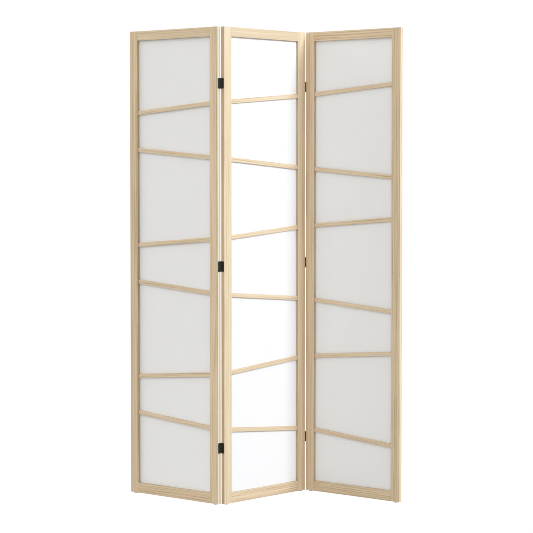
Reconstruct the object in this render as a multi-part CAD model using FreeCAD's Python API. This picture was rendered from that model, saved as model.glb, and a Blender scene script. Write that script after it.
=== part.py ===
import FreeCAD, Part

import math
import os

# Folding screen of three framed panels that stand in a zigzag on small foot pads.
# Each panel is a doweled wooden frame round a pale sheet, with six sloping slats in front of the sheet.
# Lengths are in millimetres and angles in degrees. X runs along the zigzag, +Y points to the back and
# +Z up, and the origin is on the floor under the middle of the middle panel.

# One panel
panel_width = 447.5
panel_thickness = 15.0
stile_length = 1797.0
stile_width = 40.0
top_rail_height = 36.0
bottom_rail_height = 40.0
frame_edge_radius = 0.5

# Dowels that join the rails to the stiles
dowel_diameter = 6.0
dowel_length = 30.0
dowel_spacing = 16.0
dowel_side_clearance = 0.05
dowel_end_clearance = 1.0

# Rebate round the back of the opening, with the sheet and its retaining beads in it
rebate_width = 6.0
rebate_floor_depth = 10.0
sheet_thickness = 0.8
sheet_edge_clearance = 1.0
bead_width = 9.0
bead_edge_radius = 0.8

# Sloping slats. Six straight lines, as three mirrored pairs, run on across all the panels.
slat_height = 16.0
slat_thickness = 7.0
slat_edge_radius = 0.6
slat_pair_spacing = 511.3
slat_half_gap_at_left_end = 68.1
slat_half_gap_at_right_end = 179.2
slat_pairs = 3
tenon_length = 6.0
tenon_height = 10.0
tenon_thickness = 3.0
tenon_clearance = 0.15

# Foot pads, each moulded over a nail
foot_pad_diameter = 14.0
foot_pad_height = 3.0
foot_pad_edge_radius = 0.6
foot_nail_diameter = 2.0
foot_nail_length = 14.0
foot_nail_clearance = 0.05

# Butt hinges on the edges of the stiles, three to a fold
hinge_height = 39.0
hinge_end_inset = 212.0
hinge_leaf_thickness = 0.9
hinge_leaf_back_margin = 0.5
knuckle_count = 5
knuckle_diameter = 3.8
knuckle_gap = 0.2
knuckle_notch_clearance = 0.4
pivot_offset = 0.3
pin_diameter = 2.0
pin_running_clearance = 0.05
pin_head_diameter = 3.0
pin_head_height = 0.6

# Countersunk screws through the hinge leaves
screw_diameter = 2.6
screw_length = 16.0
screw_head_diameter = 5.0
screw_head_height = 0.8
screw_inset = 9.0
screw_clearance = 0.05
screw_slot_width = 0.6
screw_slot_depth = 0.4

# Turn of each panel against its neighbour, from flat
fold_turn = 84.8

# Overrun of cutting tools past the faces they cut
overrun = 1.0

opening_left = stile_width
opening_right = panel_width - stile_width
opening_width = opening_right - opening_left
wood_bottom = foot_pad_height
wood_top = wood_bottom + stile_length
opening_bottom = wood_bottom + bottom_rail_height
opening_top = wood_top - top_rail_height
fold_gap = knuckle_diameter
knuckle_radius = knuckle_diameter / 2
bore_radius = pin_diameter / 2 + pin_running_clearance
knuckle_pitch = hinge_height / knuckle_count

X_AXIS = FreeCAD.Vector(1, 0, 0)
Y_AXIS = FreeCAD.Vector(0, 1, 0)
Z_AXIS = FreeCAD.Vector(0, 0, 1)
ORIGIN = FreeCAD.Vector(0, 0, 0)
PANELS = ("left_panel", "middle_panel", "right_panel")

parts = {}


def box(x_range, y_range, z_range):
    """A block between two values on each axis."""
    low = FreeCAD.Vector(x_range[0], y_range[0], z_range[0])
    high = FreeCAD.Vector(x_range[1], y_range[1], z_range[1])
    size = high - low
    return Part.makeBox(size.x, size.y, size.z, low)


def upright_bar(length, width, thickness, radius):
    """A bar along +Z from the origin, with its four long edges rounded."""
    corners = (
        ((width - radius, radius), -90),
        ((width - radius, thickness - radius), 0),
        ((radius, thickness - radius), 90),
        ((radius, radius), 180),
    )
    arcs = []
    for (x, y), start in corners:
        round_corner = Part.Circle(FreeCAD.Vector(x, y, 0), Z_AXIS, radius)
        arcs.append(Part.Arc(round_corner, math.radians(start), math.radians(start + 90)).toShape())
    edges = []
    for arc, following in zip(arcs, arcs[1:] + arcs[:1]):
        edges.append(arc)
        edges.append(Part.makeLine(arc.valueAt(arc.LastParameter), following.valueAt(following.FirstParameter)))
    return Part.Face(Part.Wire(edges)).extrude(Z_AXIS * length)


def level_bar(x_range, y_range, z_range, radius):
    """A bar along X between two values on each axis, with its four long edges rounded."""
    height = z_range[1] - z_range[0]
    bar = upright_bar(x_range[1] - x_range[0], height, y_range[1] - y_range[0], radius)
    bar.rotate(ORIGIN, Y_AXIS, 90)
    bar.translate(FreeCAD.Vector(x_range[0], y_range[0], z_range[1]))
    return bar


def rod(diameter, start, direction, length):
    return Part.makeCylinder(diameter / 2, length, start, direction)


def sheet_pocket():
    """The rebate that runs round the back of the opening, cut from stiles and rails alike."""
    return box(
        (opening_left - rebate_width, opening_right + rebate_width),
        (rebate_floor_depth, panel_thickness + overrun),
        (opening_bottom - rebate_width, opening_top + rebate_width),
    )


def dowel_rods(clearance, end_clearance):
    """The eight dowels of a panel, or their holes when the clearances aren't zero."""
    rods = []
    length = dowel_length + 2 * end_clearance
    rail_centres = (wood_bottom + bottom_rail_height / 2, wood_top - top_rail_height / 2)
    for joint_x in (opening_left, opening_right):
        for rail_centre in rail_centres:
            for side in (-1, 1):
                z = rail_centre + side * dowel_spacing / 2
                start = FreeCAD.Vector(joint_x - length / 2, panel_thickness / 2, z)
                rods.append(rod(dowel_diameter + 2 * clearance, start, X_AXIS, length))
    return rods


def slat_centre_line(panel_index, slat_index):
    """Height of a slat's centre line at the middle of the opening, and its slope in degrees."""
    pair, side = divmod(slat_index, 2)
    direction = -1 if side else 1
    screen_width = len(PANELS) * panel_width + (len(PANELS) - 1) * fold_gap
    slope = direction * (slat_half_gap_at_right_end - slat_half_gap_at_left_end) / screen_width
    along = panel_index * (panel_width + fold_gap) + panel_width / 2
    pair_centre = wood_bottom + stile_length / 2 + slat_pair_spacing * ((slat_pairs - 1) / 2 - pair)
    height = pair_centre + direction * slat_half_gap_at_left_end + slope * along
    return height, math.degrees(math.atan(slope))


def sloping_bar(panel_index, slat_index, height, thickness, radius):
    """A bar on a slat's centre line, longer than the opening, for trimming to its ends."""
    middle_height, slope = slat_centre_line(panel_index, slat_index)
    reach = opening_width / 2 + tenon_length + slat_height
    depth = rebate_floor_depth - slat_thickness / 2
    bar = level_bar((-reach, reach), (-thickness / 2, thickness / 2), (-height / 2, height / 2), radius)
    bar.rotate(ORIGIN, Y_AXIS, -slope)
    bar.translate(FreeCAD.Vector(panel_width / 2, depth, middle_height))
    return bar


def opening_span(extra):
    """The full depth and height of the panel, over the opening's width and some more at each side."""
    x_range = (opening_left - extra, opening_right + extra)
    return box(x_range, (-overrun, panel_thickness + overrun), (wood_bottom, wood_top))


def slat_solid(panel_index, slat_index):
    """A sloping slat with plumb-cut ends and a stub tenon at each end."""
    body = sloping_bar(panel_index, slat_index, slat_height, slat_thickness, slat_edge_radius)
    tenon = sloping_bar(panel_index, slat_index, tenon_height, tenon_thickness, slat_edge_radius)
    return body.common(opening_span(0)).fuse(tenon.common(opening_span(tenon_length))).removeSplitter()


def slat_mortises(panel_index):
    """The pockets in the stiles that take the slats' tenons."""
    height = tenon_height + 2 * tenon_clearance
    thickness = tenon_thickness + 2 * tenon_clearance
    pockets = []
    for slat_index in range(2 * slat_pairs):
        bar = sloping_bar(panel_index, slat_index, height, thickness, slat_edge_radius)
        pockets.append(bar.common(opening_span(tenon_length + tenon_clearance)))
    return pockets


def foot_centres():
    return [FreeCAD.Vector(x, panel_thickness / 2, 0) for x in (stile_width / 2, panel_width - stile_width / 2)]


def foot_nail(centre, clearance):
    start = centre + Z_AXIS * foot_pad_height
    return rod(foot_nail_diameter + 2 * clearance, start, Z_AXIS, foot_nail_length + clearance)


def foot_solids():
    """A round pad under each stile, with its nail up into the wood."""
    feet = []
    for centre in foot_centres():
        pad = rod(foot_pad_diameter, centre, Z_AXIS, foot_pad_height)
        rim = [edge for edge in pad.Edges if edge.Closed and edge.CenterOfMass.z < foot_pad_height / 2]
        feet.append(pad.makeFillet(foot_pad_edge_radius, rim).fuse(foot_nail(centre, 0)))
    return feet


def hinge_centre_heights():
    """Heights of the lower, middle and upper hinge, the lower and upper ones as far from the ends."""
    low = wood_bottom + hinge_end_inset
    high = wood_top - hinge_end_inset
    return (low, (low + high) / 2, high)


def screw_points(pivot_to_face):
    """Places of a leaf's two screws, on its outer face, from the pivot at the hinge's middle."""
    depth = pivot_to_face + panel_thickness / 2
    half = hinge_height / 2 - screw_inset
    return [FreeCAD.Vector(-knuckle_radius, depth, z) for z in (-half, half)]


def screw_solid(point, clearance):
    """A countersunk screw into the stile, or its hole when the clearance isn't zero."""
    head_radius = screw_head_diameter / 2 + clearance
    shank_radius = screw_diameter / 2 + clearance
    top = point + X_AXIS * hinge_leaf_thickness
    into_wood = X_AXIS * -1
    head = Part.makeCone(head_radius, shank_radius, screw_head_height, top, into_wood)
    shank = Part.makeCylinder(shank_radius, screw_length + clearance, top, into_wood)
    return head.fuse(shank).removeSplitter()


def slotted_screw(point):
    """The screw with a straight slot across its head."""
    top = point.x + hinge_leaf_thickness
    half_width = screw_slot_width / 2
    half_length = screw_head_diameter / 2 + overrun
    slot = box(
        (top - screw_slot_depth, top + overrun),
        (point.y - half_length, point.y + half_length),
        (point.z - half_width, point.z + half_width),
    )
    return screw_solid(point, 0).cut(slot)


def hinge_leaf(own_knuckles):
    """A leaf for the stile on the pivot's -X side: its plate goes back from the pivot, which is at the origin.

    The plate's outer face lies on the stile's edge and is tangent to the knuckles."""
    low = -hinge_height / 2
    plate_end = pivot_offset + panel_thickness - hinge_leaf_back_margin
    plate_x = (-knuckle_radius, -knuckle_radius + hinge_leaf_thickness)
    leaf = box(plate_x, (0, plate_end), (low, -low))
    notch_depth = knuckle_radius + knuckle_notch_clearance
    for slot in range(knuckle_count):
        bottom = low + slot * knuckle_pitch
        top = bottom + knuckle_pitch
        gap_below = knuckle_gap / 2 if slot > 0 else 0
        gap_above = knuckle_gap / 2 if slot < knuckle_count - 1 else 0
        if slot in own_knuckles:
            start = bottom + gap_below
            knuckle = rod(knuckle_diameter, FreeCAD.Vector(0, 0, start), Z_AXIS, top - gap_above - start)
            leaf = leaf.fuse(knuckle)
        else:
            notch = box(
                (plate_x[0] - overrun, plate_x[1] + overrun),
                (-overrun, notch_depth),
                (bottom - gap_below, top + gap_above),
            )
            leaf = leaf.cut(notch)
    bore = Part.makeCylinder(bore_radius, hinge_height + 2 * overrun, FreeCAD.Vector(0, 0, low - overrun), Z_AXIS)
    leaf = leaf.cut(bore)
    for point in screw_points(pivot_offset):
        leaf = leaf.cut(screw_solid(point, screw_clearance))
    return leaf.removeSplitter()


def hinge_pin():
    """The pin, with a flat head at each end that keeps it in the knuckles."""
    low = -hinge_height / 2
    pin = rod(pin_diameter, FreeCAD.Vector(0, 0, low), Z_AXIS, hinge_height)
    for start in (low - pin_head_height, -low):
        pin = pin.fuse(rod(pin_head_diameter, FreeCAD.Vector(0, 0, start), Z_AXIS, pin_head_height))
    return pin.removeSplitter()


def mirrored(solid):
    """The same solid for the stile on the pivot's +X side."""
    return solid.mirror(ORIGIN, X_AXIS)


def turned(solid):
    """The same solid for a fold whose pivot is at the back: half a turn about the pivot."""
    copy = solid.copy()
    copy.rotate(ORIGIN, Z_AXIS, 180)
    return copy


def moved(solid, offset):
    copy = solid.copy()
    copy.translate(offset)
    return copy


# Pivots in a panel's own frame: x from its left edge, y from its front face
back_left_pivot = FreeCAD.Vector(-fold_gap / 2, panel_thickness + pivot_offset, 0)
back_right_pivot = FreeCAD.Vector(panel_width + fold_gap / 2, panel_thickness + pivot_offset, 0)
front_left_pivot = FreeCAD.Vector(-fold_gap / 2, -pivot_offset, 0)
front_right_pivot = FreeCAD.Vector(panel_width + fold_gap / 2, -pivot_offset, 0)


def plan_placement(heading, own_point, plan_point):
    """Turns a panel to its heading and puts one of its own points on a point of the plan."""
    rotation = FreeCAD.Rotation(Z_AXIS, heading)
    return FreeCAD.Placement(plan_point - rotation.multVec(own_point), rotation)


def panel_placements():
    """Places of the three panels: the outer ones hang on the middle one at its two pivots."""
    heading = fold_turn / 2
    centre = FreeCAD.Vector(panel_width / 2, panel_thickness / 2, 0)
    middle = plan_placement(heading, centre, ORIGIN)
    left = plan_placement(-heading, back_right_pivot, middle.multVec(back_left_pivot))
    right = plan_placement(-heading, front_left_pivot, middle.multVec(front_right_pivot))
    return dict(zip(PANELS, (left, middle, right)))


PLACES = panel_placements()


def add(name, solids, panel):
    """Keeps a node's solids, moved from the panel's own frame to the standing screen."""
    placed = []
    for solid in solids:
        copy = solid.copy()
        copy.Placement = PLACES[panel].multiply(copy.Placement)
        placed.append(copy)
    parts[name] = placed[0] if len(placed) == 1 else Part.makeCompound(placed)


def hinge_fittings(panel):
    """What each panel carries at its folds: the pivot, the knuckles of its leaves, and which side it is on."""
    inner = range(1, knuckle_count, 2)
    outer = range(0, knuckle_count, 2)
    return {
        "left_panel": (("left_fold", back_right_pivot, inner, True, True),),
        "middle_panel": (
            ("left_fold", back_left_pivot, outer, False, True),
            ("right_fold", front_right_pivot, outer, False, False),
        ),
        "right_panel": (("right_fold", front_left_pivot, inner, True, False),),
    }[panel]


def to_fold(solid, mirror, turn):
    """Brings a hinge piece from the standard fold to the side and face that it serves."""
    if mirror:
        solid = mirrored(solid)
    return turned(solid) if turn else solid


def frame_members(panel_index):
    """Stiles and rails with their dowel holes, rebate, mortises and nail holes."""
    upright = upright_bar(stile_length, stile_width, panel_thickness, frame_edge_radius)
    rail_x = (opening_left, opening_right)
    depth = (0, panel_thickness)
    members = {
        "left_stile": moved(upright, FreeCAD.Vector(0, 0, wood_bottom)),
        "right_stile": moved(upright, FreeCAD.Vector(opening_right, 0, wood_bottom)),
        "top_rail": level_bar(rail_x, depth, (opening_top, wood_top), frame_edge_radius),
        "bottom_rail": level_bar(rail_x, depth, (wood_bottom, opening_bottom), frame_edge_radius),
    }
    dowel_holes = dowel_rods(dowel_side_clearance, dowel_end_clearance)
    nail_holes = [foot_nail(centre, foot_nail_clearance) for centre in foot_centres()]
    screw_holes = []
    for fold, pivot, knuckles, mirror, turn in hinge_fittings(PANELS[panel_index]):
        for height in hinge_centre_heights():
            for point in screw_points(pivot_offset):
                hole = to_fold(screw_solid(point, screw_clearance), mirror, turn)
                screw_holes.append(moved(hole, pivot + Z_AXIS * height))
    tools = Part.makeCompound([sheet_pocket()] + dowel_holes + nail_holes + slat_mortises(panel_index))
    for name in members:
        members[name] = members[name].cut(tools)
    for side in ("left_stile", "right_stile"):
        for hole in screw_holes:
            if hole.BoundBox.intersect(members[side].BoundBox):
                members[side] = members[side].cut(hole)
    return {name: single_solid(shape) for name, shape in members.items()}


def single_solid(shape):
    """The one solid that a cut or a fusion leaves."""
    return shape.Solids[0] if len(shape.Solids) == 1 else shape


def sheet_solid():
    """The pale sheet, lying against the back of the slats and the floor of the rebate."""
    margin = rebate_width - sheet_edge_clearance
    return box(
        (opening_left - margin, opening_right + margin),
        (rebate_floor_depth, rebate_floor_depth + sheet_thickness),
        (opening_bottom - margin, opening_top + margin),
    )


def bead_solids():
    """Four strips behind the sheet's edges: two full-height ones and two between them."""
    depth = (rebate_floor_depth + sheet_thickness, panel_thickness)
    thickness = depth[1] - depth[0]
    low = opening_bottom - rebate_width
    high = opening_top + rebate_width
    left = opening_left - rebate_width
    right = opening_right + rebate_width
    upright = upright_bar(high - low, bead_width, thickness, bead_edge_radius)
    across = (left + bead_width, right - bead_width)
    return [
        moved(upright, FreeCAD.Vector(left, depth[0], low)),
        moved(upright, FreeCAD.Vector(right - bead_width, depth[0], low)),
        level_bar(across, depth, (low, low + bead_width), bead_edge_radius),
        level_bar(across, depth, (high - bead_width, high), bead_edge_radius),
    ]


def build_panel(panel_index):
    panel = PANELS[panel_index]
    for name, solid in frame_members(panel_index).items():
        add(f"{panel}_{name}", [solid], panel)
    add(f"{panel}_sheet", [sheet_solid()], panel)
    for slat_index in range(2 * slat_pairs):
        add(f"{panel}_slat_{slat_index + 1}", [single_solid(slat_solid(panel_index, slat_index))], panel)
    add(f"{panel}_beads", bead_solids(), panel)
    add(f"{panel}_dowels", dowel_rods(0, 0), panel)
    add(f"{panel}_feet", foot_solids(), panel)


def build_hinge_pieces(panel):
    """The leaves and screws that stay with a panel."""
    screws = []
    for fold, pivot, knuckles, mirror, turn in hinge_fittings(panel):
        leaf = to_fold(hinge_leaf(knuckles), mirror, turn)
        leaf_side = "middle_leaf" if panel == "middle_panel" else "outer_leaf"
        for level, height in zip(("lower", "centre", "upper"), hinge_centre_heights()):
            place = pivot + Z_AXIS * height
            add(f"{fold}_{level}_hinge_{leaf_side}", [single_solid(moved(leaf, place))], panel)
            for point in screw_points(pivot_offset):
                screws.append(single_solid(moved(to_fold(slotted_screw(point), mirror, turn), place)))
    add(f"{panel}_hinge_screws", screws, panel)


def build_pins():
    """The pins stay with the middle panel, whose leaves have the end knuckles."""
    for fold, pivot, knuckles, mirror, turn in hinge_fittings("middle_panel"):
        pins = [moved(hinge_pin(), pivot + Z_AXIS * height) for height in hinge_centre_heights()]
        add(f"{fold}_hinge_pins", pins, "middle_panel")


for index, panel_name in enumerate(PANELS):
    build_panel(index)
    build_hinge_pieces(panel_name)
build_pins()

os.makedirs("parts", exist_ok=True)
for node, shape in parts.items():
    shape.exportStep(f"parts/{node}.step")

middle_place = PLACES["middle_panel"]
for fold_name, pivot_point in (("left fold", back_left_pivot), ("right fold", front_right_pivot)):
    place = middle_place.multVec(pivot_point)
    print(f"{fold_name} pivot at x {place.x:.4f} y {place.y:.4f}")
for panel_name in PANELS:
    for foot in foot_centres():
        place = PLACES[panel_name].multVec(foot)
        print(f"{panel_name} foot at x {place.x:.4f} y {place.y:.4f}")
print(f"{len(parts)} nodes")
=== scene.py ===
"""Finishes, light and camera for a three-panel folding screen.

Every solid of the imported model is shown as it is. This script lays up what covers it: pale
open-grained wood on the frames, slats, beads and dowels, fibrous matt paper on the sheets, satin
black paint on the hinges, dark steel on the pins and screws, and soft plastic on the foot pads.

Lengths on a piece are in millimetres, and depths of relief and lengths of the studio in metres.
Colours are linear light.
"""

import math
import random
from collections import namedtuple

import bpy
import numpy
from mathutils import Matrix, Vector

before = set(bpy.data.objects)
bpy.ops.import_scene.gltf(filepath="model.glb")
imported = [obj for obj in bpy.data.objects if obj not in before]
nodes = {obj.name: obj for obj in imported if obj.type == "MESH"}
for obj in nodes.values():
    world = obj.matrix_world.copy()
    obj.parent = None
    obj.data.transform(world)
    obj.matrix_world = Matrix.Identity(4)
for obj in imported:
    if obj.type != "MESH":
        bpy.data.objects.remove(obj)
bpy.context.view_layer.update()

MM = 0.001
UP = Vector((0.0, 0.0, 1.0))
WHITE = (1.0, 1.0, 1.0)

# The zigzag: how far each panel's width is turned from the X axis
FOLD_HEADING = math.radians(42.4)
HEADINGS = {"left": -FOLD_HEADING, "middle": FOLD_HEADING, "right": -FOLD_HEADING}
SLATS_PER_PANEL = 6

# A soft random variation: its lengths along, across and through a piece, how finely it breaks up,
# and how far along the endless pattern it starts
Mottle = namedtuple("Mottle", "lengths detail start")
MOTTLE_MIDDLE = 0.5
START_SPREAD = (1.0, 0.37, 0.71)

# The Mix node's sockets for each kind of value: its two ends, and what it gives out
MIX_SOCKETS = {"RGBA": (6, 7, 2), "VECTOR": (4, 5, 1)}


class Reading:
    """What one node gives out. Sums written with readings become Math nodes."""

    def __init__(self, finish, socket):
        self.finish = finish
        self.socket = socket

    def __add__(self, other):
        return self.finish.work("ADD", self, other)

    def __radd__(self, other):
        return self.finish.work("ADD", other, self)

    def __sub__(self, other):
        return self.finish.work("SUBTRACT", self, other)

    def __rsub__(self, other):
        return self.finish.work("SUBTRACT", other, self)

    def __mul__(self, other):
        return self.finish.work("MULTIPLY", self, other)

    def __rmul__(self, other):
        return self.finish.work("MULTIPLY", other, self)

    def __truediv__(self, other):
        return self.finish.work("DIVIDE", self, other)

    def __pow__(self, other):
        return self.finish.work("POWER", self, other)

    def __gt__(self, other):
        return self.finish.work("GREATER_THAN", self, other)

    def __abs__(self):
        return self.finish.work("ABSOLUTE", self)


class Finish:
    """A material, or the studio's sky, that is laid up node by node."""

    def __init__(self, name, kind=bpy.data.materials):
        self.made = kind.new(name)
        self.made.use_nodes = True
        self.tree = self.made.node_tree
        self.tree.nodes.clear()

    def node(self, kind, settings=None, sockets=None, out=0):
        """Adds a node: its settings first, then the values or readings of its sockets."""
        made = self.tree.nodes.new("ShaderNode" + kind)
        for field, value in (settings or {}).items():
            if field == "stops":
                self.set_stops(made.color_ramp, value)
            else:
                setattr(made, field, value)
        for name, value in (sockets or {}).items():
            socket = made.inputs[name]
            if isinstance(value, Reading):
                self.tree.links.new(value.socket, socket)
            elif socket.type == "RGBA":
                socket.default_value = (*value, 1.0)
            else:
                socket.default_value = value
        return None if out is None else Reading(self, made.outputs[out])

    @staticmethod
    def set_stops(ramp, stops):
        """Gives a ramp its stops, each a place and a colour."""
        while len(ramp.elements) < len(stops):
            ramp.elements.new(1.0)
        for element, (place, colour) in zip(ramp.elements, stops):
            element.position = place
            element.color = (*colour, 1.0)

    def work(self, operation, *terms):
        """One step of arithmetic."""
        return self.node("Math", {"operation": operation}, dict(enumerate(terms)))

    def ease(self, value, low, high, start=0.0, end=1.0):
        """Runs smoothly from start to end as value goes from low to high, and is level outside."""
        ends = {"Value": value, "From Min": low, "From Max": high, "To Min": start, "To Max": end}
        return self.node("MapRange", {"interpolation_type": "SMOOTHSTEP"}, ends)

    def mapped(self, spot, **steps):
        """Spots scaled, then turned, then shifted."""
        return self.node("Mapping", {}, {"Vector": spot, **steps})

    def place(self, turn=Matrix.Identity(3), shift=(0.0, 0.0, 0.0)):
        """Spots on the piece at rest, in millimetres, turned and then shifted."""
        whole = self.node("TexCoord", out="Object")
        return self.mapped(whole, Scale=(1 / MM,) * 3, Rotation=turn.to_euler("XYZ"), Location=shift)

    def mottle(self, spot, kind, start=0.0):
        """A soft random variation, from 0 to 1. kind is a Mottle, and start moves it further."""
        scale = tuple(1 / length for length in kind.lengths)
        shift = tuple((start + kind.start) * share for share in START_SPREAD)
        stretched = self.mapped(spot, Scale=scale, Location=shift)
        sockets = {"Vector": stretched, "Scale": 1.0, "Detail": kind.detail}
        return self.node("TexNoise", {}, sockets, "Fac")

    def mix(self, share, first, second, kind="RGBA", way="MIX"):
        """A colour between two others, or a spot where the kind is VECTOR."""
        first_socket, second_socket, out = MIX_SOCKETS[kind]
        settings = {"data_type": kind, "blend_type": way}
        sockets = {"Factor": share, first_socket: first, second_socket: second}
        return self.node("Mix", settings, sockets, out)

    def parts(self, spot):
        """The three numbers of a spot."""
        split = self.node("SeparateXYZ", {}, {"Vector": spot})
        return [Reading(self, output) for output in split.socket.node.outputs]

    def agreement(self, heading, direction):
        """How squarely a heading faces a direction, from -1 to 1."""
        headings = {0: heading, 1: direction}
        return self.node("VectorMath", {"operation": "DOT_PRODUCT"}, headings, "Value")

    def facing(self, direction):
        """How squarely the surface faces a direction of the piece at rest, from -1 to 1."""
        return self.agreement(self.node("TexCoord", out="Normal"), direction)

    def relief(self, height, depth, strength):
        """A surface relief. depth is in metres."""
        sockets = {"Height": height, "Distance": depth, "Strength": strength}
        return self.node("Bump", {}, sockets, "Normal")

    def skin(self, colour, rough, relief, gloss=0.5, metallic=0.0):
        """The surface itself. gloss and metallic are the same all over it."""
        varied = {"Base Color": colour, "Roughness": rough, "Normal": relief}
        even = {"Specular IOR Level": gloss, "Metallic": metallic}
        return self.node("BsdfPrincipled", {}, {**varied, **even})

    def close(self, shader, output="OutputMaterial"):
        self.node(output, {}, {"Surface": shader}, None)
        return self.made


# Wood colours, from the pale early growth to the darkest late growth
WOOD_PALE = (0.698, 0.553, 0.378)
WOOD_BODY = (0.602, 0.460, 0.280)
WOOD_DEEP = (0.425, 0.303, 0.170)
WOOD_STOPS = ((0.0, WOOD_PALE), (0.5, WOOD_BODY), (1.0, WOOD_DEEP))
SAPWOOD = (0.760, 0.650, 0.490)
PORE = (0.330, 0.225, 0.130)
END_GRAIN = (0.420, 0.300, 0.185)
# Painted shade: a tint multiplied into the wood in recesses and in a fold's shadow
PAINTED_SHADE_TINT = (0.760, 0.750, 0.730)

# How much deeper a board is than the others, or paler where it is below zero, how strong its
# figure is, and how much of it is sapwood
Board = namedtuple("Board", "tone figure sap")
PLAIN_BOARD = Board(0.0, 1.0, 0.0)
SLAT_BOARD = Board(-0.20, 1.0, 0.0)
BEAD_BOARD = Board(-0.04, 1.0, 0.0)
BOARDS = {
    "left_panel_left_stile": Board(0.07, 1.0, 0.0),
    "left_panel_right_stile": Board(-0.15, 1.0, 0.0),
    "left_panel_top_rail": Board(-0.10, 1.0, 0.0),
    "left_panel_bottom_rail": Board(0.03, 0.80, 0.0),
    "middle_panel_left_stile": Board(-0.03, 0.80, 0.20),
    "middle_panel_right_stile": Board(-0.24, 1.0, 0.05),
    "middle_panel_top_rail": Board(0.21, 0.50, 0.20),
    "middle_panel_bottom_rail": Board(0.02, 1.25, 0.05),
    "right_panel_left_stile": Board(-0.14, 1.0, 0.0),
    "right_panel_right_stile": Board(0.04, 1.0, 0.0),
    "right_panel_top_rail": Board(-0.05, 1.0, 0.0),
}

# Stiles whose outer edge differs from their face: how much deeper it is, how much of it is
# sapwood, and how strong the painted shadow on its back half is, where the next panel's stile keeps
# the key light off
Edge = namedtuple("Edge", "tone sap gathered")
EDGES = {
    "left_panel_right_stile": Edge(-0.60, 0.85, 1.0),
    "right_panel_right_stile": Edge(-0.08, 0.15, 0.0),
    # The middle panel's left edge stands in the fold, turned from the key light: its deeper tone is
    # painted shade
    "middle_panel_left_stile": Edge(0.22, 0.0, 0.0),
}

# How squarely a surface faces inward to take painted shade, how squarely it faces outward to be
# an edge, and the back half of that edge, where a painted shadow falls
SHADED_INNER_EDGE = (0.55, 0.85)
OUTER_EDGE = (-0.55, -0.85)
SHADOWED_BACK_HALF = (-4.0, 0.5)

# Growth rings: how far apart they are, how far the pith lies beside and behind a board and leans
# from it, how far the rings sway, and how unevenly they grow
RING_SPACING = 6.2
PITH_ASIDE = (34.0, 62.0)
PITH_DEPTH = (24.0, 52.0)
PITH_LEAN = (0.001, 0.005)
SWAY_ASIDE = 6.0
SWAY_DEEP = 5.0
UNEVEN_GROWTH = 1.7

# When in a year the pale early wood fades and the late wood comes and ends, where it is strong,
# and where pores open. Each is a range for ease
EARLY_FADES = (0.30, 0.05)
LATE_COMES = (0.38, 0.86)
LATE_ENDS = (0.84, 1.0)
LATE_STRONG = (0.30, 0.62, 0.25, 1.0)
PORE_OPEN = (0.60, 0.68)
PORES_IN_EARLY = 0.8
PORES_EVERYWHERE = 0.2

# Variations in a board, which starts anywhere along them
BOARD_STARTS = (0.0, 60.0)
SWAY = Mottle((560.0, 34.0, 34.0), 2.0, 0.0)
GROWTH = Mottle((2600.0, 13.0, 13.0), 1.0, 5.0)
STREAK = Mottle((260.0, 4.6, 4.6), 3.0, 11.0)
FIBRE = Mottle((60.0, 0.7, 0.7), 2.0, 17.0)
BAND = Mottle((900.0, 17.0, 17.0), 2.0, 23.0)
SPECK = Mottle((5.0, 0.24, 0.24), 1.0, 31.0)
VIGOUR = Mottle((170.0, 6.0, 6.0), 2.0, 41.0)
HANDLING = Mottle((34.0, 9.0, 9.0), 3.0, 3.0)

# How much deeper late growth, streaks, fibres and bands make the wood, from its usual depth
LATE_DEEPENS = 0.75
STREAK_DEEPENS = 1.60
FIBRE_DEEPENS = 0.44
BAND_DEEPENS = 0.95
USUAL_LATE = 0.25
USUAL_DEPTH = 0.47

# How strongly pores, cut ends and worn edges show, and where ends and edges begin
PORE_SHOWN = 0.55
END_SHOWN = 0.60
WORN_SHOWN = 0.35
CUT_END = (0.35, 0.15)
NEAR_ARRIS = (1.2, 0.3)
OFTEN_HANDLED = (0.44, 0.66)

# How rough wood is, what makes it rougher, how high its fibres and late growth stand, and its
# relief, as a depth and a strength
WOOD_ROUGH = 0.47
STREAK_ROUGHENS = 0.16
PORE_ROUGHENS = 0.20
END_ROUGHENS = 0.20
WORN_ROUGHENS = 0.08
FIBRE_HEIGHT = 0.45
LATE_HEIGHT = 0.10
WOOD_RELIEF = (0.00010, 0.6)
WOOD_GLOSS = 0.60

BEAD_WIDTH = 9.0


def width_direction(panel):
    heading = HEADINGS[panel]
    return Vector((math.cos(heading), math.sin(heading), 0.0))


def long_direction(node):
    """The direction in which a slat's corners spread furthest."""
    spots = numpy.array([corner.co for corner in node.data.vertices])
    _, directions = numpy.linalg.eigh(numpy.cov(spots.T))
    found = Vector(directions[:, -1])
    return found if found.x > 0 else -found


def lie_of(node, grain, across):
    """How to turn and shift a node's spots so that they run along, across and through it.

    They then count from its middle. Half its size each way comes with them.
    """
    across = (across - across.project(grain)).normalized()
    turn = Matrix((grain, across, grain.cross(across)))
    spots = numpy.array([turn @ corner.co for corner in node.data.vertices]) / MM
    low = spots.min(0)
    high = spots.max(0)
    return turn, (-(low + high) / 2).tolist(), ((high - low) / 2).tolist()


def either_way(draw, span):
    """A length from the span, to one side or the other."""
    return draw.choice((-1.0, 1.0)) * draw.uniform(*span)


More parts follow.
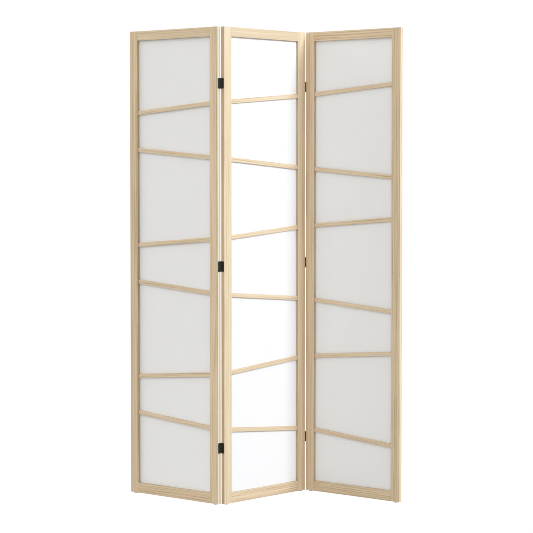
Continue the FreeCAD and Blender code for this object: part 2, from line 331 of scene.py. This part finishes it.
def wood_figure(finish, spot, draw):
    """Late growth, streaks, fibres, bands and pores, for spots along, across and through."""
    along, across, through = finish.parts(spot)
    start = draw.uniform(*BOARD_STARTS)
    sway = finish.mottle(spot, SWAY, start) - MOTTLE_MIDDLE
    lean = either_way(draw, PITH_LEAN)
    aside = across + either_way(draw, PITH_ASIDE) + along * lean + sway * SWAY_ASIDE
    deep = through + either_way(draw, PITH_DEPTH) + sway * SWAY_DEEP
    from_pith = (aside * aside + deep * deep) ** 0.5
    growth = finish.mottle(spot, GROWTH, start) - MOTTLE_MIDDLE
    year = finish.work("FRACT", from_pith / RING_SPACING + growth * UNEVEN_GROWTH)
    late = finish.ease(year, *LATE_COMES) - finish.ease(year, *LATE_ENDS)
    late = late * finish.ease(finish.mottle(spot, VIGOUR, start), *LATE_STRONG)
    early = finish.ease(year, *EARLY_FADES)
    streak, fibre, band, speck = [
        finish.mottle(spot, mottle, start) for mottle in (STREAK, FIBRE, BAND, SPECK)
    ]
    pore = finish.ease(speck, *PORE_OPEN) * (early * PORES_IN_EARLY + PORES_EVERYWHERE)
    return late, streak, fibre, band, pore


def wear_board(finish, spot, half, colour, rough):
    """Opens the grain of a board's cut ends, and rubs its edges pale where it is handled."""
    along, across, through = finish.parts(spot)
    half_long, half_wide, half_thick = half
    cut_end = finish.ease(half_long - abs(along), *CUT_END)
    colour = finish.mix(cut_end * END_SHOWN, colour, END_GRAIN)
    from_side = finish.work("MAXIMUM", half_wide - abs(across), 0.0)
    from_face = finish.work("MAXIMUM", half_thick - abs(through), 0.0)
    from_arris = (from_side * from_side + from_face * from_face) ** 0.5
    handled = finish.ease(finish.mottle(spot, HANDLING), *OFTEN_HANDLED)
    worn = finish.ease(from_arris, *NEAR_ARRIS) * handled
    colour = finish.mix(worn * WORN_SHOWN, colour, WOOD_PALE)
    return colour, rough + cut_end * END_ROUGHENS + worn * WORN_ROUGHENS


def lay_wood(finish, spot, draw, board, half=None, gathered=None):
    """Lays pale oiled wood on a board, for spots along, across and through it.

    half is half its size in those directions, and a piece without it keeps fresh ends and edges.
    gathered is painted shade that darkens the wood where shade falls, from 0 to 1.
    """
    late, streak, fibre, band, pore = wood_figure(finish, spot, draw)
    depth = (
        (late - USUAL_LATE) * (LATE_DEEPENS * board.figure)
        + (streak - MOTTLE_MIDDLE) * (STREAK_DEEPENS * board.figure)
        + (fibre - MOTTLE_MIDDLE) * FIBRE_DEEPENS
        + (band - MOTTLE_MIDDLE) * (BAND_DEEPENS * board.figure)
        + (USUAL_DEPTH + board.tone)
    )
    colour = finish.node("ValToRGB", {"stops": WOOD_STOPS}, {"Fac": depth}, "Color")
    colour = finish.mix(board.sap, colour, SAPWOOD)
    colour = finish.mix(pore * PORE_SHOWN, colour, PORE)
    rough = WOOD_ROUGH + (streak - MOTTLE_MIDDLE) * STREAK_ROUGHENS + pore * PORE_ROUGHENS
    if half:
        colour, rough = wear_board(finish, spot, half, colour, rough)
    # Painted shade, darkening the wood where shade falls
    if gathered:
        colour = finish.mix(gathered, colour, PAINTED_SHADE_TINT, way="MULTIPLY")
    height = (fibre - MOTTLE_MIDDLE) * FIBRE_HEIGHT + late * LATE_HEIGHT - pore
    relief = finish.relief(height, *WOOD_RELIEF)
    return finish.close(finish.skin(colour, rough, relief, WOOD_GLOSS))


def board_wood(name, grain, across, inner, both_edges=False):
    """Wood for one frame member or slat.

    inner is the direction in which its inner edge faces, where painted shade darkens it, and
    both_edges says that the opposite edge is the same, as on a slat.
    """
    turn, shift, half = lie_of(nodes[name], grain, across)
    made = f"wood_{name}"
    finish = Finish(made)
    spot = finish.place(turn, shift)
    facing = finish.facing(inner)
    # Painted shade on the inner faces round an opening, and on a slat's top and bottom faces
    gathered = finish.ease(abs(facing) if both_edges else facing, *SHADED_INNER_EDGE)
    board = SLAT_BOARD if both_edges else BOARDS.get(name, PLAIN_BOARD)
    if name in EDGES:
        edge = EDGES[name]
        outer = finish.ease(facing, *OUTER_EDGE)
        _, _, through = finish.parts(spot)
        tone = board.tone + outer * edge.tone
        sap = board.sap + outer * (edge.sap - board.sap)
        board = Board(tone, board.figure, sap)
        # A painted shadow on the back half of the outer edge, where the next panel's stile blocks
        # the key light
        gathered = gathered + outer * finish.ease(through, *SHADOWED_BACK_HALF, 0.0, edge.gathered)
    return lay_wood(finish, spot, random.Random(made), board, half, gathered)


def bead_wood(name, width):
    """Wood for the four strips behind a sheet, with its grain along each strip."""
    upright_turn, upright_shift, half = lie_of(nodes[name], UP, width)
    level_turn, level_shift, _ = lie_of(nodes[name], width, UP)
    made = f"wood_{name}"
    finish = Finish(made)
    upright = finish.place(upright_turn, upright_shift)
    level = finish.place(level_turn, level_shift)
    _, aside, _ = finish.parts(upright)
    _, half_wide, _ = half
    spot = finish.mix(abs(aside) > half_wide - BEAD_WIDTH, level, upright, "VECTOR")
    return lay_wood(finish, spot, random.Random(made), BEAD_BOARD)


# Dowels: colour, flecks and soft tones, roughness and relief
DOWEL_PALE = (0.660, 0.520, 0.360)
DOWEL_FLECK = Mottle((3.0, 0.35, 0.35), 2.0, 0.0)
DOWEL_TONE = Mottle((40.0, 2.0, 2.0), 2.0, 9.0)
FLECK_DARK = (0.60, 0.75)
FLECK_SHOWN = 0.4
DOWEL_ROUGH = 0.52
TONE_ROUGHENS = 0.15
DOWEL_RELIEF = (0.00008, 0.5)


def dowel_wood(name, width):
    """Plain pale hardwood for the round pins inside the corners."""
    finish = Finish(name)
    spot = finish.place(Matrix((width, UP, width.cross(UP))))
    fleck = finish.mottle(spot, DOWEL_FLECK)
    tone = finish.mottle(spot, DOWEL_TONE)
    colour = finish.mix(tone, DOWEL_PALE, WOOD_BODY)
    colour = finish.mix(finish.ease(fleck, *FLECK_DARK) * FLECK_SHOWN, colour, WOOD_DEEP)
    rough = DOWEL_ROUGH + (tone - MOTTLE_MIDDLE) * TONE_ROUGHENS
    return finish.close(finish.skin(colour, rough, finish.relief(fleck, *DOWEL_RELIEF)))


# Sheets: the colours of the paper, its clouds and its fibres
PAPER_PALE = (0.880, 0.874, 0.857)
PAPER_CLOUD = (0.873, 0.867, 0.849)
PAPER_FIBRE = (0.905, 0.900, 0.888)

# Clouds, pulp and bends of the paper, and its fibres in three layers, each turned by some degrees
# and started elsewhere
CLOUD = Mottle((90.0, 120.0, 90.0), 2.0, 0.0)
PULP = Mottle((2.2, 2.6, 2.2), 3.0, 7.0)
BEND = Mottle((16.0, 16.0, 16.0), 2.0, 13.0)
STRAND = Mottle((17.0, 0.55, 0.55), 1.0, 0.0)
STRAND_LAYERS = ((12.0, 3.0), (-38.0, 21.0), (67.0, 43.0))
STRAND_BEND = 0.10
STRAND_SEEN = (0.74, 0.80)
CLOUD_SEEN = (0.35, 0.70)
FIBRES_SHOWN = 0.6

# How rough the paper is, its relief and gloss, and how much of the light it lets through
PAPER_ROUGH = 0.82
PULP_ROUGHENS = 0.14
FIBRES_SMOOTHE = 0.06
PULP_HEIGHT = 0.5
PAPER_RELIEF = (0.00006, 0.5)
PAPER_GLOSS = 0.25
LIGHT_THROUGH = 0.12


def paper_fibres(finish, spot):
    """Fibres that lie every way in the paper, from 0 to 1."""
    bend = finish.mottle(spot, BEND)
    fibres = 0.0
    for turn_degrees, start in STRAND_LAYERS:
        turned = finish.mapped(spot, Rotation=(0.0, math.radians(turn_degrees), 0.0))
        strand = finish.mottle(turned, STRAND, start)
        layer = finish.ease(strand + bend * STRAND_BEND, *STRAND_SEEN)
        fibres = finish.work("MAXIMUM", fibres, layer)
    return fibres


def sheet_paper(name, width):
    """Fibrous matt paper that lets a little light through."""
    finish = Finish(name)
    spot = finish.place(Matrix((width, UP, width.cross(UP))))
    cloud = finish.mottle(spot, CLOUD)
    pulp = finish.mottle(spot, PULP)
    fibres = paper_fibres(finish, spot)
    colour = finish.mix(finish.ease(cloud, *CLOUD_SEEN), PAPER_PALE, PAPER_CLOUD)
    colour = finish.mix(fibres * FIBRES_SHOWN, colour, PAPER_FIBRE)
    rough = PAPER_ROUGH + (pulp - MOTTLE_MIDDLE) * PULP_ROUGHENS - fibres * FIBRES_SMOOTHE
    relief = finish.relief(pulp * PULP_HEIGHT + fibres, *PAPER_RELIEF)
    skin = finish.skin(colour, rough, relief, PAPER_GLOSS)
    glow = finish.node("BsdfTranslucent", {}, {"Color": PAPER_PALE})
    return finish.close(finish.node("MixShader", {}, {0: LIGHT_THROUGH, 1: skin, 2: glow}))


# Paint: colours, its orange peel, smears and chips, where it is rubbed thin, roughness, relief
# and gloss
PAINT_BLACK = (0.030, 0.028, 0.021)
PAINT_RUBBED = (0.042, 0.039, 0.031)
PEEL = Mottle((0.9, 0.9, 0.9), 2.0, 0.0)
SMEAR = Mottle((7.0, 7.0, 12.0), 3.0, 5.0)
CHIP = Mottle((1.3, 1.3, 1.3), 3.0, 19.0)
SMEAR_RUBS = (0.55, 0.75)
CHIP_RUBS = (0.50, 0.62)
RUBBED_SHOWN = 0.7
RUBBED_DEPTH = 0.3
PAINT_ROUGH = 0.46
SMEAR_ROUGHENS = 0.18
RUBBED_ROUGHENS = 0.08
PAINT_RELIEF = (0.00003, 0.4)
PAINT_GLOSS = 0.22


def hinge_paint(name):
    """Satin black paint, rubbed thin in places."""
    finish = Finish(name)
    spot = finish.place()
    peel = finish.mottle(spot, PEEL)
    smear = finish.mottle(spot, SMEAR)
    chip = finish.mottle(spot, CHIP)
    rubbed = finish.ease(smear, *SMEAR_RUBS) * finish.ease(chip, *CHIP_RUBS)
    colour = finish.mix(rubbed * RUBBED_SHOWN, PAINT_BLACK, PAINT_RUBBED)
    rough = PAINT_ROUGH + (smear - MOTTLE_MIDDLE) * SMEAR_ROUGHENS + rubbed * RUBBED_ROUGHENS
    relief = finish.relief(peel - rubbed * RUBBED_DEPTH, *PAINT_RELIEF)
    return finish.close(finish.skin(colour, rough, relief, PAINT_GLOSS))


# Steel: colours, turning marks and stains, roughness, relief, and how metallic it is
STEEL_DARK = (0.052, 0.050, 0.048)
STEEL_RUBBED = (0.210, 0.203, 0.195)
TURNING = Mottle((30.0, 30.0, 0.16), 2.0, 0.0)
STAIN = Mottle((4.0, 4.0, 6.0), 3.0, 9.0)
STAIN_THIN = (0.45, 0.72)
STEEL_ROUGH = 0.30
TURNING_ROUGHENS = 0.20
STAIN_ROUGHENS = 0.20
STEEL_RELIEF = (0.00003, 0.4)
STEEL_METALLIC = 0.9
PIN_START = 2.0
SCREW_START = 14.0


def turned_steel(name, start):
    """Dark oiled steel with fine turning marks."""
    finish = Finish(name)
    spot = finish.place()
    turning = finish.mottle(spot, TURNING, start)
    stain = finish.mottle(spot, STAIN, start)
    colour = finish.mix(finish.ease(stain, *STAIN_THIN), STEEL_DARK, STEEL_RUBBED)
    marks = (turning - MOTTLE_MIDDLE) * TURNING_ROUGHENS
    rough = STEEL_ROUGH + marks + (stain - MOTTLE_MIDDLE) * STAIN_ROUGHENS
    relief = finish.relief(turning, *STEEL_RELIEF)
    return finish.close(finish.skin(colour, rough, relief, metallic=STEEL_METALLIC))


# Pads: colours, dust and grain of the plastic, roughness and relief
PAD_PALE = (0.480, 0.450, 0.505)
PAD_DUSTY = (0.400, 0.385, 0.400)
DUST = Mottle((5.0, 5.0, 1.5), 3.0, 0.0)
PAD_GRAIN = Mottle((0.45, 0.45, 0.45), 2.0, 8.0)
DUST_SEEN = (0.40, 0.70)
PAD_ROUGH = 0.62
DUST_ROUGHENS = 0.20
PAD_RELIEF = (0.00005, 0.5)


def pad_plastic(name):
    """Soft matt plastic that has picked up dust."""
    finish = Finish(name)
    spot = finish.place()
    dust = finish.mottle(spot, DUST)
    colour = finish.mix(finish.ease(dust, *DUST_SEEN), PAD_PALE, PAD_DUSTY)
    rough = PAD_ROUGH + (dust - MOTTLE_MIDDLE) * DUST_ROUGHENS
    relief = finish.relief(finish.mottle(spot, PAD_GRAIN), *PAD_RELIEF)
    return finish.close(finish.skin(colour, rough, relief))


def dress(name, material):
    for slot in nodes[name].material_slots:
        slot.material = material


def dress_panel(panel):
    """Finishes one panel: its frame, slats, beads, dowels and sheet."""
    width = width_direction(panel)
    for side, inner in (("left", width), ("right", -width)):
        name = f"{panel}_panel_{side}_stile"
        dress(name, board_wood(name, UP, width, inner))
    for level, inner in (("top", -UP), ("bottom", UP)):
        name = f"{panel}_panel_{level}_rail"
        dress(name, board_wood(name, width, UP, inner))
    for number in range(1, SLATS_PER_PANEL + 1):
        name = f"{panel}_panel_slat_{number}"
        dress(name, board_wood(name, long_direction(nodes[name]), UP, UP, both_edges=True))
    beads = f"{panel}_panel_beads"
    dress(beads, bead_wood(beads, width))
    dress(f"{panel}_panel_dowels", dowel_wood(f"wood_{panel}_dowels", width))
    dress(f"{panel}_panel_sheet", sheet_paper(f"paper_{panel}_sheet", width))


for panel in HEADINGS:
    dress_panel(panel)

fitting_finishes = {
    "_leaf": hinge_paint("paint_hinge_black"),
    "_hinge_pins": turned_steel("steel_hinge_pin", PIN_START),
    "_hinge_screws": turned_steel("steel_hinge_screw", SCREW_START),
    "_feet": pad_plastic("plastic_foot_pad"),
}
for ending, material in fitting_finishes.items():
    for name in nodes:
        if name.endswith(ending):
            dress(name, material)

# Floor and sky: white where the camera sees them, and the studio's soft light to all else
SEEN_WHITE = 1.09
FLOOR_LIGHT = 0.57
FLOOR_REACH = 80.0
FLOOR_DROP = -0.0005
FLOOR_CORNERS = ((-1, -1), (1, -1), (1, 1), (-1, 1))

# Soft lights of the sky: azimuth and height in degrees, how narrow, and how strong
SKY_LIGHTS = (
    (-125.0, 15.0, 7.0, 3.95),
    (-50.0, 20.0, 4.0, 0.88),
    (0.0, 20.0, 4.0, 1.30),
    (50.0, 20.0, 4.0, 0.10),
    (100.0, 20.0, 4.0, 1.25),
    (180.0, 20.0, 2.0, 0.30),
    (0.0, 90.0, 3.0, 0.68),
)


def stand(name, data):
    """Stands an object in the studio."""
    made = bpy.data.objects.new(name, data)
    bpy.context.scene.collection.objects.link(made)
    return made


def toward(azimuth, height):
    """The direction of a light, from two angles in degrees. Azimuth 0 is in front, 90 right."""
    azimuth = math.radians(azimuth)
    height = math.radians(height)
    level = math.cos(height)
    return Vector((math.sin(azimuth) * level, -math.cos(azimuth) * level, math.sin(height)))


def seen_white(finish, kind, light):
    """A light that is white to the camera, and this strong to everything else."""
    seen = finish.node("LightPath", out="Is Camera Ray")
    strength = seen * SEEN_WHITE + (1.0 - seen) * light
    return finish.node(kind, {}, {"Color": WHITE, "Strength": strength})


floor_finish = Finish("stage_floor")
floor_mesh = bpy.data.meshes.new("floor")
corners = [(x * FLOOR_REACH, y * FLOOR_REACH, 0.0) for x, y in FLOOR_CORNERS]
floor_mesh.from_pydata(corners, [], [(0, 1, 2, 3)])
floor_light = seen_white(floor_finish, "Emission", FLOOR_LIGHT)
floor_mesh.materials.append(floor_finish.close(floor_light))
floor = stand("floor", floor_mesh)
floor.location.z = FLOOR_DROP

sky = Finish("studio", bpy.data.worlds)
outward = sky.node("TexCoord", out="Generated")
sky_light = 0.0
for azimuth, height, narrow, strength in SKY_LIGHTS:
    agreement = sky.agreement(outward, toward(azimuth, height))
    sky_light = sky.work("MAXIMUM", agreement, 0.0) ** narrow * strength + sky_light
backdrop = seen_white(sky, "Background", sky_light)
bpy.context.scene.world = sky.close(backdrop, "OutputWorld")

# Key: one large soft lamp, far to the right and a little above
KEY_AZIMUTH = 55.8
KEY_HEIGHT = 28.0
KEY_DISTANCE = 8.0
KEY_WIDE = 1.5
KEY_TALL = 1.8
KEY_WATTS = 484.0
KEY_COLOUR = (0.958, 1.0, 1.125)
KEY_AIM = Vector((0.0, 0.0, 0.95))

key_lamp = bpy.data.lights.new("key", "AREA")
key_lamp.shape = "RECTANGLE"
key_lamp.size = KEY_WIDE
key_lamp.size_y = KEY_TALL
key_lamp.energy = KEY_WATTS
key_lamp.color = KEY_COLOUR
toward_key = toward(KEY_AZIMUTH, KEY_HEIGHT)
key = stand("key", key_lamp)
key.location = KEY_AIM + toward_key * KEY_DISTANCE
key.rotation_mode = "QUATERNION"
key.rotation_quaternion = toward_key.to_track_quat("Z", "Y")

# Camera: the photograph's view, in metres, degrees and millimetres of lens
CAMERA_SPOT = (-0.44025, -7.11597, 1.26924)
CAMERA_YAW = 3.6133
CAMERA_PITCH = 2.4593
CAMERA_LENS = 125.458
CAMERA_SENSOR = 36.0
CAMERA_SHIFT_DOWN = -0.034
CAMERA_NEAREST = 0.1
CAMERA_FURTHEST = 300.0

camera_data = bpy.data.cameras.new("camera")
camera_data.sensor_width = CAMERA_SENSOR
camera_data.lens = CAMERA_LENS
camera_data.shift_y = CAMERA_SHIFT_DOWN
camera_data.clip_start = CAMERA_NEAREST
camera_data.clip_end = CAMERA_FURTHEST
camera = stand("camera", camera_data)
camera.location = CAMERA_SPOT
camera.rotation_euler = (math.radians(90.0 - CAMERA_PITCH), 0.0, math.radians(-CAMERA_YAW))
bpy.context.scene.camera = camera

# Film: its response runs straight up to a shoulder, and then eases up to white
FILM_SHOULDER = 0.70
FILM_WHITE = 1.08
FILM_STEPS = 5
ALL_COLOURS = 3

# How far the film spreads a spot of light, in pixels
FILM_SPREAD = 0.95

bpy.context.scene.cycles.filter_width = FILM_SPREAD
film = bpy.context.scene.view_settings
film.view_transform = "Standard"
film.use_curve_mapping = True
film.curve_mapping.white_level = (FILM_WHITE, FILM_WHITE, FILM_WHITE)
response = film.curve_mapping.curves[ALL_COLOURS].points
response.new(FILM_SHOULDER / 2 / FILM_WHITE, FILM_SHOULDER / 2)
light_room = FILM_WHITE - FILM_SHOULDER
shown_room = 1.0 - FILM_SHOULDER
for step in range(FILM_STEPS):
    left = 1.0 - step / FILM_STEPS
    scene_light = FILM_WHITE - left * light_room
    response.new(scene_light / FILM_WHITE, 1.0 - shown_room * left ** (light_room / shown_room))
film.curve_mapping.update()
